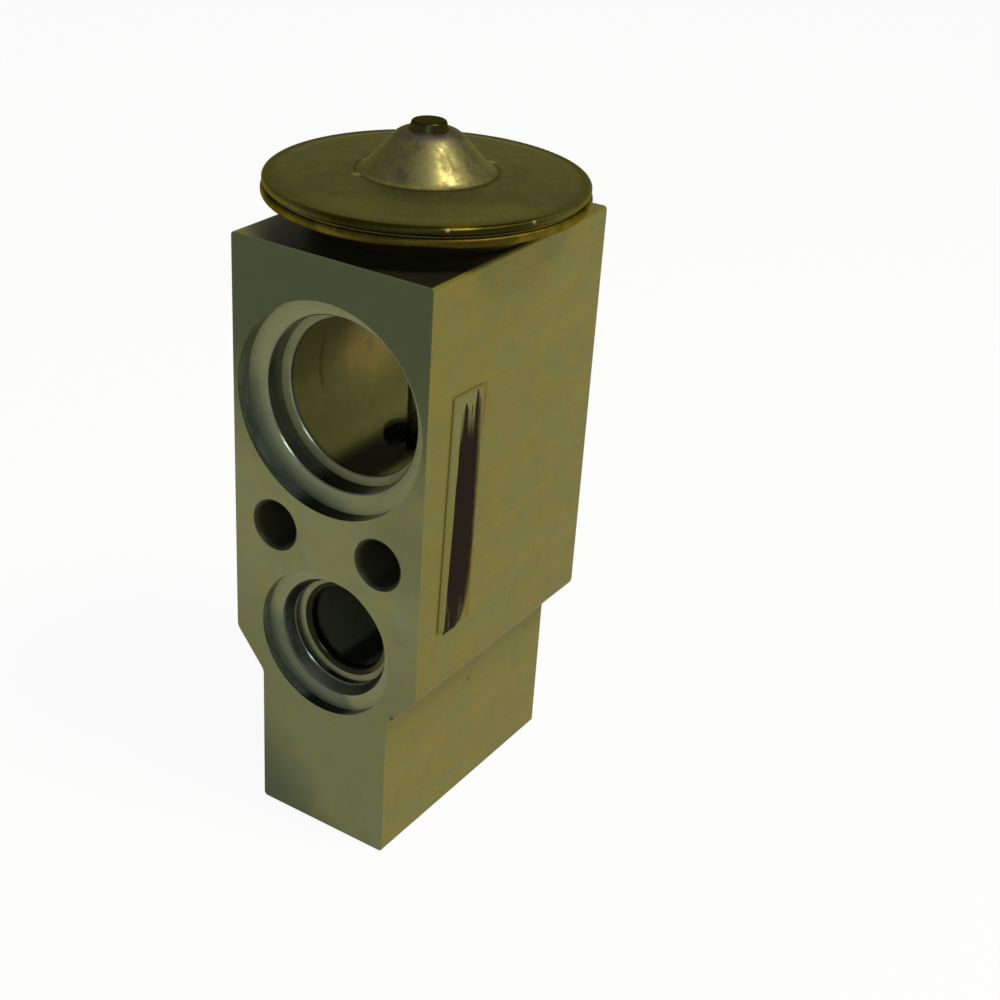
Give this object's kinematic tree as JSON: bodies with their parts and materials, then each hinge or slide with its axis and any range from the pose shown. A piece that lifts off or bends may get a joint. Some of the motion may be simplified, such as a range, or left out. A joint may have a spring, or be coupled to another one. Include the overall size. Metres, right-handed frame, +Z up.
{
  "type": "thermostatic expansion valve",
  "caption": "Block-type refrigerant expansion valve: stepped ports in a machined block, sensing rod, sprung ball and a welded diaphragm housing on top.",
  "frame": {"origin": "centre of the foot's bottom face, on the valve axis", "axes": "+Z up the valve axis to the diaphragm housing; -Y out of the evaporator side, where the liquid outlet is; +X across the block to its right seen from that side"},
  "size_m": [0.0384, 0.0384, 0.0895],
  "materials": {
    "block_aluminium": "machined",
    "housing_steel": "pressed and welded",
    "dark_plug": "dark",
    "rod_steel": "ground",
    "spring_steel": "drawn",
    "screw_brass": "machined",
    "seal_rubber": "moulded",
    "backup_plastic": "moulded",
    "label_film": "smooth film"
  },
  "bodies": {
    "housing": {"valve_body": "block_aluminium", "upper_cover": "housing_steel", "lower_cover": "housing_steel", "diaphragm": "housing_steel", "charge_plug": "dark_plug", "element_seal_ring": "seal_rubber", "seal_backup_washer": "backup_plastic", "rod_seal": "seal_rubber", "seal_retainer": "spring_steel", "superheat_spring": "spring_steel", "label": "label_film"},
    "valve_train": {"pressure_pad": "rod_steel", "push_rod": "rod_steel", "valve_ball": "rod_steel", "ball_holder": "rod_steel"},
    "spring_stage": {"spring_seat": "rod_steel"},
    "adjuster": {"adjusting_screw": "screw_brass", "adjuster_seal_ring": "seal_rubber"}
  },
  "joints": [
    {"name": "valve_lift", "type": "slide", "parent": "housing", "child": "valve_train", "axis": [0, 0, -1], "range_m": [0, 0.0009], "stiffness_N_per_m": 150, "springref_m": -0.002, "deforming": ["superheat_spring", "diaphragm"]},
    {"name": "adjuster_travel", "type": "slide", "parent": "housing", "child": "spring_stage", "axis": [0, 0, 1], "range_m": [-0.00075, 0.00075], "deforming": ["superheat_spring"]},
    {"name": "adjuster_turn", "type": "hinge", "parent": "spring_stage", "child": "adjuster", "pos_m": [0, 0, 0.005], "axis": [0, 0, 1], "range_deg": [-270, 270]}
  ],
  "couplings": [
    {"joint": "adjuster_turn", "follows": "adjuster_travel", "rad_per_m": 6283.2}
  ]
}
